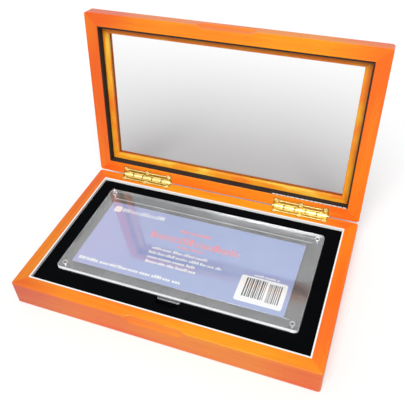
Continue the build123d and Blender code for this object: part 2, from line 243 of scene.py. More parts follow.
# Pale rings round the holder's pins: painted highlights at the edges of their recesses
HIGHLIGHT_RING_RADIUS = 1.95 * MM
HIGHLIGHT_RING_SECTION = 0.22 * MM
HIGHLIGHT_RING_RISE = 0.03 * MM  # its middle above the pin's end
HIGHLIGHT_RING_ROUNDS = 8

# Bars on the label, in millimetres from the label's centre: x start, x end, y start, y end
BAR_GROUPS = [(-15.5, 2.6, -8.5, 12.4), (5.4, 15.6, -9.5, 11.0)]
BAR_WIDTHS = (0.5, 0.8, 1.1, 1.4)
BAR_SPACES = (0.5, 0.7, 0.9)
LABEL_CORNER = 2.2
LABEL_SEED = 11

# Pale core of the lining board, where it was cut on the hinge side
CORE_WIDTH = 0.85 * MM
CORE_RISE = 0.06 * MM
CORE_INSET = 0.3 * MM
CORE_SPAN = (0.21, 0.495)  # shares of the lining's length, from its middle
CORE_DASHES = (2.0, 5.0)  # shortest and longest, in millimetres
CORE_GAPS = (0.3, 0.8)
CORE_SEED = 3


def link(obj):
    """Put an object in the scene."""
    bpy.context.scene.collection.objects.link(obj)
    return obj


def add_node(tree, kind, inputs=(), **settings):
    """One shader node with its settings, and its inputs as values or links."""
    made = tree.nodes.new("ShaderNode" + kind)
    for name, value in settings.items():
        setattr(made, name, value)
    for key, value in dict(inputs).items():
        if isinstance(value, bpy.types.NodeSocket):
            tree.links.new(value, made.inputs[key])
        else:
            made.inputs[key].default_value = value
    return made


def new_material(name, **values):
    """A material with a Principled shader, and constants on the shader's own sockets."""
    material = bpy.data.materials.new(name)
    material.use_nodes = True
    tree = material.node_tree
    shader = tree.nodes["Principled BSDF"]
    for key, value in values.items():
        shader.inputs[key.replace("_", " ")].default_value = value
    return material, tree, shader


def place_noise(tree, turn, stretch, **settings):
    """Noise in the piece's own coordinates, turned first and then stretched.

    The stretch is one number for each axis, or one for all three.
    """
    if not isinstance(stretch, tuple):
        stretch = (stretch, stretch, stretch)
    turned = add_node(tree, "Mapping", {"Vector": own_place(tree), "Rotation": turn})
    sized = add_node(tree, "Mapping", {"Vector": turned.outputs[0], "Scale": stretch})
    inputs = {"Vector": sized.outputs[0], "Scale": 1.0, **settings}
    return add_node(tree, "TexNoise", inputs).outputs["Fac"]


def ramp(tree, factor, stops):
    """A colour ramp through (position, colour) stops."""
    made = add_node(tree, "ValToRGB", {"Fac": factor})
    elements = made.color_ramp.elements
    while len(elements) < len(stops):
        elements.new(0.5)
    for element, (position, colour) in zip(elements, stops):
        element.position = position
        element.color = (*colour, 1)
    return made.outputs["Color"]


def spread(tree, factor, low, high, out_low=0.0, out_high=1.0):
    """A factor mapped from one range to another, held at its ends."""
    inputs = {"Value": factor, "From Min": low, "From Max": high, "To Min": out_low, "To Max": out_high}
    return add_node(tree, "MapRange", inputs).outputs["Result"]


def blend_colour(tree, factor, first, second, how="MIX"):
    """Two colours blended."""
    made = add_node(tree, "Mix", data_type="RGBA", blend_type=how)
    for index, value in ((0, factor), (6, first), (7, second)):
        if isinstance(value, bpy.types.NodeSocket):
            tree.links.new(value, made.inputs[index])
        else:
            made.inputs[index].default_value = value if index == 0 else (*value, 1)
    return made.outputs[2]


def calculate(tree, operation, *values):
    """One step of arithmetic."""
    made = add_node(tree, "Math", operation=operation)
    for index, value in enumerate(values):
        if isinstance(value, bpy.types.NodeSocket):
            tree.links.new(value, made.inputs[index])
        else:
            made.inputs[index].default_value = value
    return made.outputs[0]


def weigh(tree, first, share, second):
    """Two factors added, the first with its share and the second with the rest."""
    return calculate(tree, "ADD", calculate(tree, "MULTIPLY", first, share),
                     calculate(tree, "MULTIPLY", second, 1 - share))


def own_place(tree):
    """The point's place in the piece's own coordinates."""
    return add_node(tree, "TexCoord").outputs["Object"]


def along_axis(tree, place, axis):
    """One coordinate of a place."""
    return add_node(tree, "SeparateXYZ", {"Vector": place}).outputs[axis]


def dot(tree, first, second):
    """The dot product of two vectors."""
    made = add_node(tree, "VectorMath", {0: first, 1: second}, operation="DOT_PRODUCT")
    return made.outputs["Value"]


def add_bump(tree, shader, height, distance, strength=1.0):
    """Bump from a height, on the shader's normal."""
    inputs = {"Height": height, "Distance": distance, "Strength": strength}
    tree.links.new(add_node(tree, "Bump", inputs).outputs["Normal"], shader.inputs["Normal"])


OPEN_ANGLE = radians(joints["lid_hinge"]["range_deg"][1])
VELVET_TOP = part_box("velvet_cover")[1].z
UPWARD = (0, 0, 1)
FORWARD = (0, -1, 0)
LID_INWARD = (0, -sin(OPEN_ANGLE), -cos(OPEN_ANGLE))

# Turns that lay the grain along a rail, as shader rotations
ALONG_X = (0, 0, 0)
ALONG_Y = (0, 0, pi / 2)
LID_ALONG_X = (OPEN_ANGLE, 0, 0)
LID_ALONG_Y = (OPEN_ANGLE, 0, pi / 2)


def lacquered_wood(name, turn, face, warmth, left_painted_shade):
    """Orange lacquered softwood: soft streaks and fine pores.

    It is redder at the corners, with painted shade and a painted pale reflection on the outer faces,
    and painted shade towards the left end.
    """
    material, tree, shader = new_material(
        name, Roughness=0.34, Specular_IOR_Level=0.12, Coat_Weight=0.2, Coat_Roughness=0.12)
    streaks = place_noise(tree, turn, WOOD_STREAKS, Detail=5.0, Roughness=0.6, Distortion=0.6)
    cloud = place_noise(tree, turn, WOOD_CLOUD, Detail=1.0)
    pores = place_noise(tree, turn, WOOD_PORES, Detail=3.0, Roughness=0.7)
    tone = weigh(tree, streaks, STREAK_SHARE, cloud)
    place = own_place(tree)
    across = along_axis(tree, place, "X")
    corner = spread(tree, calculate(tree, "ABSOLUTE", across), *CORNER_REACH, 0.0, CORNER_RED)
    tone = calculate(tree, "ADD", calculate(tree, "SUBTRACT", tone, corner), warmth)
    wood = ramp(tree, tone, [(0.36, HONEY_DARK), (0.62, HONEY_LIGHT)])
    pore_mask = spread(tree, pores, *PORE_BAND)
    shade = calculate(tree, "MULTIPLY", pore_mask, PORE_DEPTH)
    wood = blend_colour(tree, shade, wood, PORE_TONE)
    normal = add_node(tree, "TexCoord").outputs["Normal"]
    # Painted shade with a painted pale reflection on the faces turned outwards
    turned_away = spread(tree, dot(tree, normal, face), 0.9, 0.4)
    outward = spread(tree, dot(tree, normal, place), 0.0, OUTER_REACH)
    outer_painted_shade = calculate(tree, "MULTIPLY", turned_away, outward)
    wood = blend_colour(tree, outer_painted_shade, wood, OUTER_PAINTED_SHADE, "MULTIPLY")
    # Painted shade towards the left end
    left_end = spread(tree, across, *LEFT_REACH)
    wood = blend_colour(tree, left_end, wood, left_painted_shade, "MULTIPLY")
    tree.links.new(wood, shader.inputs["Base Color"])
    rough = spread(tree, cloud, 0.3, 0.7, 0.28, 0.42)
    tree.links.new(rough, shader.inputs["Roughness"])
    add_bump(tree, shader, calculate(tree, "SUBTRACT", streaks, pore_mask), GRAIN_BUMP, 0.5)
    return material


def bead_finish(name, turn, warmth):
    """The beads round the glass: a yellower stain that lies in blots."""
    material, tree, shader = new_material(
        name, Roughness=0.36, Specular_IOR_Level=0.15, Coat_Weight=0.2, Coat_Roughness=0.15)
    streaks = place_noise(tree, turn, BEAD_STREAKS, Detail=4.0, Distortion=0.4)
    blots = place_noise(tree, turn, BEAD_BLOTS, Detail=2.0, Distortion=0.5)
    tone = calculate(tree, "ADD", weigh(tree, streaks, BEAD_STREAK_SHARE, blots), warmth)
    wood = ramp(tree, tone, [(0.38, BEAD_DARK), (0.5, BEAD_MID), (0.64, BEAD_LIGHT)])
    tree.links.new(wood, shader.inputs["Base Color"])
    add_bump(tree, shader, streaks, GRAIN_BUMP, 0.5)
    return material


def board(name, low, high, bump=0.02 * MM):
    """Paper-faced board with a fine fibre."""
    material, tree, shader = new_material(name, Roughness=0.72, Specular_IOR_Level=0.25)
    fibre = place_noise(tree, ALONG_X, FIBRE_WAVES, Detail=4.0, Roughness=0.65)
    patch = place_noise(tree, ALONG_X, PATCH_WAVES, Detail=2.0)
    tone = weigh(tree, fibre, FIBRE_SHARE, patch)
    tree.links.new(ramp(tree, tone, [(0.3, low), (0.7, high)]), shader.inputs["Base Color"])
    add_bump(tree, shader, fibre, bump)
    return material


def plywood():
    """Pale birch ply with lines along X."""
    material, tree, shader = new_material("plywood", Roughness=0.6, Specular_IOR_Level=0.3)
    lines = place_noise(tree, ALONG_X, PLY_WAVES, Detail=5.0, Distortion=0.5)
    tone = ramp(tree, lines, [(0.3, PLY_TONES[0]), (0.7, PLY_TONES[1])])
    tree.links.new(tone, shader.inputs["Base Color"])
    add_bump(tree, shader, lines, 0.04 * MM)
    return material


def pile(name, low, high, sheen, bump):
    """Black pile cloth: flecked, matt, with a faint sheen at grazing angles."""
    material, tree, shader = new_material(
        name, Roughness=0.95, Specular_IOR_Level=0.03, Sheen_Weight=sheen, Sheen_Roughness=0.4)
    shader.inputs["Sheen Tint"].default_value = (*SHEEN_TINT, 1)
    hairs = place_noise(tree, ALONG_X, HAIR_WAVES, Detail=3.0, Roughness=0.7)
    brushed = place_noise(tree, ALONG_X, BRUSHED_WAVES, Detail=3.0, Distortion=0.8)
    tone = weigh(tree, hairs, HAIR_SHARE, brushed)
    tree.links.new(ramp(tree, tone, [(0.3, low), (0.75, high)]), shader.inputs["Base Color"])
    add_bump(tree, shader, hairs, bump)
    return material


def clear(name, face, tint, passed, bloom_and_light_tone, ior, level, bloom_and_light, scratch):
    """Clear plate: passes light, mirrors like a polished face, and turns white on its cut faces.

    The white is that on the wide faces, a faint haze that also paints a reflection veil; on the
    edges; on the near edge above the velvet, a painted reflection; and on the pocket's far wall, a
    painted highlight. The last two look to the front.
    """
    broad_haze_and_veil, edges, near_edge_reflection, far_wall_highlight = bloom_and_light
    material, tree, shader = new_material(
        name, Roughness=0.0, IOR=ior, Specular_IOR_Level=level, Transmission_Weight=1.0)
    shader.inputs["Base Color"].default_value = (*tint, 1)
    smear = place_noise(tree, ALONG_X, SMEAR_WAVES, Detail=3.0, Distortion=1.0)
    if scratch:
        tree.links.new(spread(tree, smear, 0.35, 0.8, 0.0, scratch), shader.inputs["Roughness"])
    bloom_and_light_shader = add_node(tree, "BsdfDiffuse", {"Color": (*bloom_and_light_tone, 1), "Roughness": 1.0})
    normal = add_node(tree, "TexCoord").outputs["Normal"]
    facing = calculate(tree, "ABSOLUTE", dot(tree, normal, face))
    sawn_and_highlight = spread(tree, facing, 0.9, 0.2, 0.0, edges)
    inside = add_node(tree, "NewGeometry").outputs["Backfacing"]
    outside = calculate(tree, "SUBTRACT", 1.0, inside)
    to_front = calculate(tree, "MULTIPLY", dot(tree, normal, FORWARD), outside)
    place = own_place(tree)
    height, depth = along_axis(tree, place, "Z"), along_axis(tree, place, "Y")
    # Painted light on faces that look to the front: a painted reflection on the near edge above the
    # velvet, and a painted highlight on the pocket's far wall
    near = spread(tree, height, VELVET_TOP - PAINTED_LIGHT_BLEND, VELVET_TOP, 0.0, near_edge_reflection)
    far = spread(tree, depth, 0.0, PAINTED_LIGHT_BLEND, 0.0, far_wall_highlight)
    front = calculate(tree, "MAXIMUM", near, far)
    front = calculate(tree, "MULTIPLY", front, spread(tree, to_front, 0.4, 0.9))
    sawn_and_highlight = calculate(tree, "MAXIMUM", sawn_and_highlight, front)
    milky_and_painted_light = calculate(tree, "ADD", sawn_and_highlight, spread(tree, smear, 0.3, 0.7, 0.6 * broad_haze_and_veil, 1.4 * broad_haze_and_veil))
    body = add_node(tree, "MixShader", {0: milky_and_painted_light, 1: shader.outputs[0], 2: bloom_and_light_shader.outputs[0]})
    path = add_node(tree, "LightPath").outputs
    passes = calculate(tree, "MAXIMUM", path["Is Shadow Ray"], path["Is Diffuse Ray"])
    through = add_node(tree, "BsdfTransparent", {"Color": (*passed, 1)})
    choice = add_node(tree, "MixShader", {0: passes, 1: body.outputs[0], 2: through.outputs[0]})
    tree.links.new(choice.outputs[0], tree.nodes["Material Output"].inputs["Surface"])
    return material


def paint_pane_shade(material):
    """Painted shade: the pane's tint deepens from its free edge down to the hinges."""
    tree = material.node_tree
    low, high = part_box("lid_glass")
    share = spread(tree, along_axis(tree, own_place(tree), "Z"), low.z, high.z)
    tone = ramp(tree, share, [(0.0, PANE_SHADE_DEEP), (0.6, PANE_SHADE_MIDDLE), (0.95, PANE_SHADE_CLEAR)])
    tree.links.new(tone, tree.nodes["Principled BSDF"].inputs["Base Color"])


def brass(name, dark, light):
    """Plated brass, rubbed bright in places."""
    material, tree, shader = new_material(name, Metallic=0.65, Roughness=0.22)
    rub = place_noise(tree, ALONG_X, RUB_WAVES, Detail=3.0)
    scratch = place_noise(tree, ALONG_X, SCRATCH_WAVES, Detail=2.0)
    tree.links.new(ramp(tree, rub, [(0.3, dark), (0.5, light)]), shader.inputs["Base Color"])
    tree.links.new(spread(tree, rub, 0.3, 0.7, 0.3, 0.16), shader.inputs["Roughness"])
    add_bump(tree, shader, scratch, 0.01 * MM, 0.6)
    return material


def cloudy_plastic(name, low, high):
    """Cloudy white plastic, used for the pale rings that paint the highlight round the pins."""
    material, tree, shader = new_material(name, Roughness=0.25, Specular_IOR_Level=0.6)
    cloud = place_noise(tree, ALONG_X, 900, Detail=2.0)
    tree.links.new(ramp(tree, cloud, [(0.35, low), (0.65, high)]), shader.inputs["Base Color"])
    return material


def printed_card():
    """Coated card, blue with a violet cast towards its left end."""
    material, tree, shader = new_material("printed_card", Roughness=0.35, Specular_IOR_Level=0.5)
    low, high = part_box("display_card")
    share = spread(tree, along_axis(tree, own_place(tree), "X"), low.x, high.x)
    mottle = place_noise(tree, ALONG_X, CARD_MOTTLE, Detail=2.0)
    share = calculate(tree, "ADD", share, spread(tree, mottle, 0.2, 0.8, -0.15, 0.15))
    tone = ramp(tree, share, [(0.0, CARD_VIOLET), (0.45, CARD_BLUE)])
    grain = place_noise(tree, ALONG_X, CARD_GRAIN, Detail=2.0)
    speck = spread(tree, grain, 0.35, 0.65, 0.0, 0.12)
    tree.links.new(blend_colour(tree, speck, tone, CARD_SPECK), shader.inputs["Base Color"])
    add_bump(tree, shader, grain, 0.004 * MM)
    return material


def ink(name, tone):
    """Print on the card, thin in places."""
    material, tree, shader = new_material(name, Roughness=0.4, Specular_IOR_Level=0.4)
    grain = place_noise(tree, ALONG_X, INK_GRAIN, Detail=3.0)
    thin = tuple(INK_THIN * channel for channel in tone)
    tree.links.new(ramp(tree, grain, [(0.3, thin), (0.6, tone)]), shader.inputs["Base Color"])
    return material


wood_x = lacquered_wood("honey_wood_x", ALONG_X, UPWARD, 0.03, LEFT_PAINTED_SHADE)
wood_y = lacquered_wood("honey_wood_y", ALONG_Y, UPWARD, 0.10, LEFT_PAINTED_SHADE)
lid_wood_x = lacquered_wood("lid_wood_x", LID_ALONG_X, LID_INWARD, 0.04, LID_LEFT_PAINTED_SHADE)
lid_wood_y = lacquered_wood("lid_wood_y", LID_ALONG_Y, LID_INWARD, 0.05, LID_LEFT_PAINTED_SHADE)
bead_x = bead_finish("bead_wood_x", LID_ALONG_X, 0.0)
bead_y = bead_finish("bead_wood_y", LID_ALONG_Y, -0.02)
# The free bead lies in shade: its own, redder copy of the bead stain is painted bounce light
free_bead_painted_light = bead_finish("bead_wood_free_painted_light", LID_ALONG_X, -0.10)
white_board = board("white_board", *WHITE_BOARD_TONES)
black_board = board("black_board", *BLACK_BOARD_TONES)
core_board = board("board_core", *CORE_TONES)
label_paper = board("label_paper", *LABEL_TONES, bump=0.006 * MM)
velvet = pile("velvet", *VELVET_TONES, sheen=0.01, bump=0.12 * MM)
felt = pile("felt", *FELT_TONES, sheen=0.2, bump=0.2 * MM)
# Bloom shares: wide faces (a faint haze that also paints a reflection veil), sawn edges, painted
# reflection on the near edge, painted highlight on the pocket's far wall
acrylic = clear(
    "clear_acrylic", UPWARD, ACRYLIC_TINT, ACRYLIC_PASSED, ACRYLIC_BLOOM_AND_LIGHT,
    ior=1.75, level=1.0, bloom_and_light=(0.028, 0.10, 0.72, 1.0), scratch=0.16)
low_acrylic = clear(
    "clear_acrylic_low", UPWARD, ACRYLIC_TINT, ACRYLIC_PASSED, ACRYLIC_BLOOM_AND_LIGHT,
    ior=1.60, level=1.0, bloom_and_light=(0.012, 0.10, 0.08, 0.3), scratch=0.03)
pin_acrylic = clear(
    "acrylic_pin", UPWARD, PIN_TINT, ACRYLIC_PASSED, PIN_BLOOM_AND_LIGHT,
    ior=1.60, level=0.8, bloom_and_light=(0.02, 0.10, 0.15, 0.15), scratch=0.03)
pane_glass = clear(
    "clear_glass", LID_INWARD, PANE_SHADE_MIDDLE, PANE_PASSED, PANE_BLOOM,
    ior=PANE_IOR, level=0.1, bloom_and_light=(0.0, 0.10, 0.0, 0.0), scratch=0.0)
paint_pane_shade(pane_glass)
highlight_ring_plastic = cloudy_plastic("highlight_ring_plastic", *HIGHLIGHT_RING_TONES)
brass_metal = brass("brass", BRASS_DARK, BRASS_LIGHT)
hollow_brass_painted_shade = brass("hollow_brass_painted_shade", HOLLOW_SHADE_DARK, HOLLOW_SHADE_LIGHT)
card_stock = printed_card()
white_ink = ink("white_ink", PRINT_WHITE)
red_ink = ink("red_ink", PRINT_RED)
brown_ink = ink("brown_ink", BAR_BROWN)


def dress(node, material):
    """Give a solid a better material."""
    nodes[node].data.materials.clear()
    nodes[node].data.materials.append(material)


for side, along, lid_along in (("front", wood_x, lid_wood_x), ("back", wood_x, lid_wood_x),
                               ("left", wood_y, lid_wood_y), ("right", wood_y, lid_wood_y)):
    dress(f"base_rail_{side}", along)
    dress(f"lid_rail_{side}", lid_along)
    dress(f"tray_liner_{side}", white_board)
    dress(f"lid_lining_{side}", black_board)
    dress(f"glass_bead_{side}", bead_x if along is wood_x else bead_y)
dress("glass_bead_front", free_bead_painted_light)
dress("bottom_panel", plywood())
dress("holder_base", low_acrylic)
dress("holder_cover", acrylic)
dress("holder_pins", pin_acrylic)
dress("lid_glass", pane_glass)
dress("display_card", card_stock)
for node in ("base_hinge_nails", "lid_hinge_nails"):
    dress(node, brass_metal)
for hinge in ("left", "right"):
    # The leaf plates take the darker brass: painted shade in the hollows round the trim
    dress(f"{hinge}_hinge_base_leaf", hollow_brass_painted_shade)
    dress(f"{hinge}_hinge_lid_leaf", hollow_brass_painted_shade)
    dress(f"{hinge}_hinge_pin", brass_metal)


def new_piece(name, bm, materials, body, angle=35):
    """A finished piece from a bmesh, shaded smooth between its sharp edges."""
    bmesh.ops.recalc_face_normals(bm, faces=bm.faces)
    mesh = bpy.data.meshes.new(name)
    bm.to_mesh(mesh)
    bm.free()
    for material in materials:
        mesh.materials.append(material)
    mesh.shade_smooth()
    mesh.set_sharp_from_angle(angle=radians(angle))
    piece = link(bpy.data.objects.new(name, mesh))
    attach(piece, body)
    return piece


# Shut and open: the lid is worked out as it lies on the base and then swung open
HINGE_AXIS = Vector(joints["lid_hinge"]["pos_m"])
TO_AXIS = Matrix.Translation(HINGE_AXIS)
SWING_OPEN = TO_AXIS @ Matrix.Rotation(-OPEN_ANGLE, 4, "X") @ TO_AXIS.inverted()


def velvet_insert():
    """The foam block in its velvet: edges rolled over, face slightly uneven."""
    bm = bmesh.new()
    for node in ("velvet_cover", "insert_foam"):
        bm.from_mesh(nodes[node].data)
    rough = bpy.data.meshes.new("insert_blank")
    bm.to_mesh(rough)
    bm.free()
    blank = link(bpy.data.objects.new("insert_blank", rough))
    remesh = blank.modifiers.new("voxels", "REMESH")
    remesh.mode = "VOXEL"
    remesh.voxel_size = VELVET_VOXEL
    graph = bpy.context.evaluated_depsgraph_get()
    even = bpy.data.meshes.new_from_object(blank.evaluated_get(graph))
    bpy.data.objects.remove(blank)

    bm = bmesh.new()
    bm.from_mesh(even)
    roll_start = VELVET_TOP - VELVET_ROLL_DEPTH
    for _ in range(VELVET_ROUNDS):
        rim = [v for v in bm.verts if v.co.z > roll_start]
        bmesh.ops.smooth_vert(
            bm, verts=rim, factor=0.5, use_axis_x=True, use_axis_y=True, use_axis_z=True)
    for v in bm.verts:
        if v.co.z > roll_start:
            v.co.z += VELVET_RIPPLE * noise.noise(v.co * VELVET_RIPPLE_SCALE)
    insert = new_piece("velvet_insert", bm, [velvet], "base", angle=180)
    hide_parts("velvet_cover", "insert_foam")


def felt_sheet():
    """The felt glued under the case: a thin sheet with an uneven cut edge."""
    low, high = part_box("underside_felt")
    width, depth = high.x - low.x, high.y - low.y
    columns, rows = round(width / FELT_CELL), round(depth / FELT_CELL)
    bm = bmesh.new()
    grid = {}
    for level, z in ((0, low.z), (1, high.z)):
        for i in range(columns + 1):
            for j in range(rows + 1):
                place = Vector((low.x + width * i / columns, low.y + depth * j / rows, z))
                wave = noise.noise_vector(place * FELT_WAVE_SCALE) * FELT_WAVE
                if i in (0, columns):
                    place.x += wave.x - FELT_WAVE if i else FELT_WAVE + wave.x
                if j in (0, rows):
                    place.y += wave.y - FELT_WAVE if j else FELT_WAVE + wave.y
                grid[level, i, j] = bm.verts.new(place)
    for i in range(columns):
        for j in range(rows):
            for level in (0, 1):
                bm.faces.new([grid[level, i, j], grid[level, i + 1, j],
                              grid[level, i + 1, j + 1], grid[level, i, j + 1]])
    for i in range(columns):
        for j in (0, rows):
            bm.faces.new([grid[0, i, j], grid[0, i + 1, j], grid[1, i + 1, j], grid[1, i, j]])
    for j in range(rows):
        for i in (0, columns):
            bm.faces.new([grid[0, i, j], grid[0, i, j + 1], grid[1, i, j + 1], grid[1, i, j]])
    sheet = new_piece("felt_sheet", bm, [felt], "base", angle=60)
    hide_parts("underside_felt")


def add_slab(bm, outline, low, high, slot=0):
    """A thin slab with an outline of (x, y) points."""
    rings = [[bm.verts.new((x, y, z)) for x, y in outline] for z in (low, high)]
    faces = [bm.faces.new(rings[0][::-1]), bm.faces.new(rings[1])]
    count = len(outline)
    for i in range(count):
        j = (i + 1) % count
        faces.append(bm.faces.new([rings[0][i], rings[0][j], rings[1][j], rings[1][i]]))
    for face in faces:
        face.material_index = slot


def rounded_outline(x_low, x_high, y_low, y_high, radius, steps=5):
    """Points round a rectangle with round corners."""
    corners = [(x_high - radius, y_high - radius, 0), (x_low + radius, y_high - radius, 90),
               (x_low + radius, y_low + radius, 180), (x_high - radius, y_low + radius, 270)]
    points = []
    for x, y, start in corners:
        for step in range(steps + 1):
            turn = radians(start + 90 * step / steps)
            points.append((x + radius * cos(turn), y + radius * sin(turn)))
    return points


def card_print():
    """Plain blocks where the card has its lines of print."""
    low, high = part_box("display_card")
    middle = (low + high) / 2
    chance = random.Random(CARD_SEED)
    bm = bmesh.new()

    def block(x_start, x_end, y, height, slot):
        outline = rounded_outline(
            middle.x + x_start * MM, middle.x + x_end * MM, middle.y + (y - height / 2) * MM,
            middle.y + (y + height / 2) * MM, min(height, x_end - x_start) * BLOCK_ROUND * MM, steps=3)
        add_slab(bm, outline, high.z, high.z + PRINT_RISE, slot)

    def loop(x_start, x_end, y, height, slot):
        """A hollow block."""
        stroke = height / LOOP_STROKE
        block(x_start, x_start + stroke, y, height, slot)
        block(x_end - stroke, x_end, y, height, slot)
        for edge in (-1, 1):
            block(x_start + stroke, x_end - stroke, y + edge * (height - stroke) / 2, stroke, slot)

    for slot, lines in ((0, WHITE_LINES), (1, RED_LINES)):
        for x_start, x_end, y, height in lines:
            x = x_start
            while x < x_end - WORD_MIN / 2:
                word_end = min(x_end, x + height * WORD_LEAD + chance.uniform(WORD_MIN, WORD_MAX))
                start = x
                while start < word_end:
                    wide = height * chance.uniform(*BLOCK_WIDTHS)
                    tall = height * chance.choice(BLOCK_HEIGHTS)
                    block_end = min(start + wide, word_end + BLOCK_OVERRUN)
                    hollow = height >= LOOP_HEIGHT and block_end - start > LOOP_WIDTH * tall
                    mark = loop if hollow else block
                    mark(start, block_end, y - (height - tall) / 2, tall, slot)
                    start += wide + height * BLOCK_SPACE
                x = word_end + WORD_SPACE
    x, y = DISC_PLACE
    block(x - DISC_RADIUS, x + DISC_RADIUS, y, 2 * DISC_RADIUS, 0)
    new_piece("card_print", bm, [white_ink, red_ink], "holder", angle=30)


def pin_highlight_rings():
    """A small pale ring round the head of each pin, lying in its recess in the upper plate: a painted
    highlight at the recess edge.
    """
    heads = {}
    for v in nodes["holder_pins"].data.vertices:
        heads.setdefault((v.co.x > 0, v.co.y > 0), []).append(v.co)
    bm = bmesh.new()
    for points in heads.values():
        low = Vector([min(p[axis] for p in points) for axis in range(3)])
        high = Vector([max(p[axis] for p in points) for axis in range(3)])
        middle = (low + high) / 2
        rings = []
        for s in range(TURNED_STEPS):
            turn = 2 * pi * s / TURNED_STEPS
            out = Vector((cos(turn), sin(turn), 0))
            ring = []
            for t in range(HIGHLIGHT_RING_ROUNDS):
                lean = 2 * pi * t / HIGHLIGHT_RING_ROUNDS
                place = out * (HIGHLIGHT_RING_RADIUS + HIGHLIGHT_RING_SECTION * cos(lean))
                place += Vector((middle.x, middle.y, high.z + HIGHLIGHT_RING_RISE + HIGHLIGHT_RING_SECTION * sin(lean)))
                ring.append(bm.verts.new(place))
            rings.append(ring)
        for s in range(TURNED_STEPS):
            first, second = rings[s], rings[(s + 1) % TURNED_STEPS]
            for t in range(HIGHLIGHT_RING_ROUNDS):
                u = (t + 1) % HIGHLIGHT_RING_ROUNDS
                bm.faces.new([first[t], first[u], second[u], second[t]])
    new_piece("pin_highlight_rings", bm, [highlight_ring_plastic], "holder", angle=180)


def label_sheet():
    """The white label with round corners and two groups of plain upright bars."""
    low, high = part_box("card_label")
    middle = (low + high) / 2
    chance = random.Random(LABEL_SEED)
    bm = bmesh.new()
    add_slab(bm, rounded_outline(low.x, high.x, low.y, high.y, LABEL_CORNER * MM), low.z, high.z)
    for x_start, x_end, y_start, y_end in BAR_GROUPS:
        x = x_start
        while x < x_end:
            wide = chance.choice(BAR_WIDTHS)
            outline = [(x, y_start), (x + wide, y_start), (x + wide, y_end), (x, y_end)]
            outline = [(middle.x + px * MM, middle.y + py * MM) for px, py in outline]
            add_slab(bm, outline, high.z, high.z + PRINT_RISE, 1)
            x += wide + chance.choice(BAR_SPACES)
    label = new_piece("label_sheet", bm, [label_paper, brown_ink], "holder", angle=30)
    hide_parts("card_label")


def add_lathe(bm, foot, along, across, profile):
    """A turned form: profile is (distance along, radius) points on an axis from foot."""
    third = along.cross(across)
    rings = []
    for distance, radius in profile:
        centre = foot + along * distance
        ring = []
        for s in range(TURNED_STEPS):
            turn = 2 * pi * s / TURNED_STEPS
            ring.append(bm.verts.new(centre + (across * cos(turn) + third * sin(turn)) * radius))
        rings.append(ring)
    for first, second in zip(rings, rings[1:]):
        for s in range(TURNED_STEPS):
            t = (s + 1) % TURNED_STEPS
            bm.faces.new([first[s], first[t], second[t], second[s]])
    bm.faces.new(rings[0][::-1])
    bm.faces.new(rings[-1])


def add_petal(bm, centre, outward, sideways, up):
    """One domed petal of a rosette."""
    long, wide, tall = PETAL_SIZE
    tip = bm.verts.new(centre + up * tall)
    above = None
    for row in range(1, PETAL_ROWS + 1):
        lean = pi / 2 * row / PETAL_ROWS
        ring = []
        for s in range(PETAL_TURNS):
            turn = 2 * pi * s / PETAL_TURNS
            place = centre + up * tall * cos(lean)
            place += outward * long * sin(lean) * cos(turn) + sideways * wide * sin(lean) * sin(turn)
            ring.append(bm.verts.new(place))
        for s in range(PETAL_TURNS):
            t = (s + 1) % PETAL_TURNS
            if above is None:
                bm.faces.new([tip, ring[s], ring[t]])
            else:
                bm.faces.new([above[s], ring[s], ring[t], above[t]])
        above = ring
    bm.faces.new(above[::-1])


def add_rope(bm, start, end, up, radius):
    """A half-round rope moulding between two points: its radius swells at each lay."""
    along = (end - start).normalized()
    side = along.cross(up)
    length = (end - start).length
    steps = round(length / ROPE_PITCH * ROPE_RINGS)
    rings = []
    for k in range(steps + 1):
        travelled = length * k / steps
        ring = []
        for s in range(ROPE_ARC + 1):
            turn = pi * s / ROPE_ARC
            lay = 2 * pi * travelled / ROPE_PITCH + turn
            swell = radius * (1 + ROPE_SWELL * sin(lay))
            out = side * cos(turn) + up * sin(turn) * ROPE_FLATNESS
            ring.append(bm.verts.new(start + along * travelled + out * swell))
        rings.append(ring)
    for first, second in zip(rings, rings[1:]):
        for s in range(ROPE_ARC):
            bm.faces.new([first[s], first[s + 1], second[s + 1], second[s]])
        bm.faces.new([first[0], second[0], second[ROPE_ARC], first[ROPE_ARC]])
    bm.faces.new(rings[0][::-1])
    bm.faces.new(rings[-1])


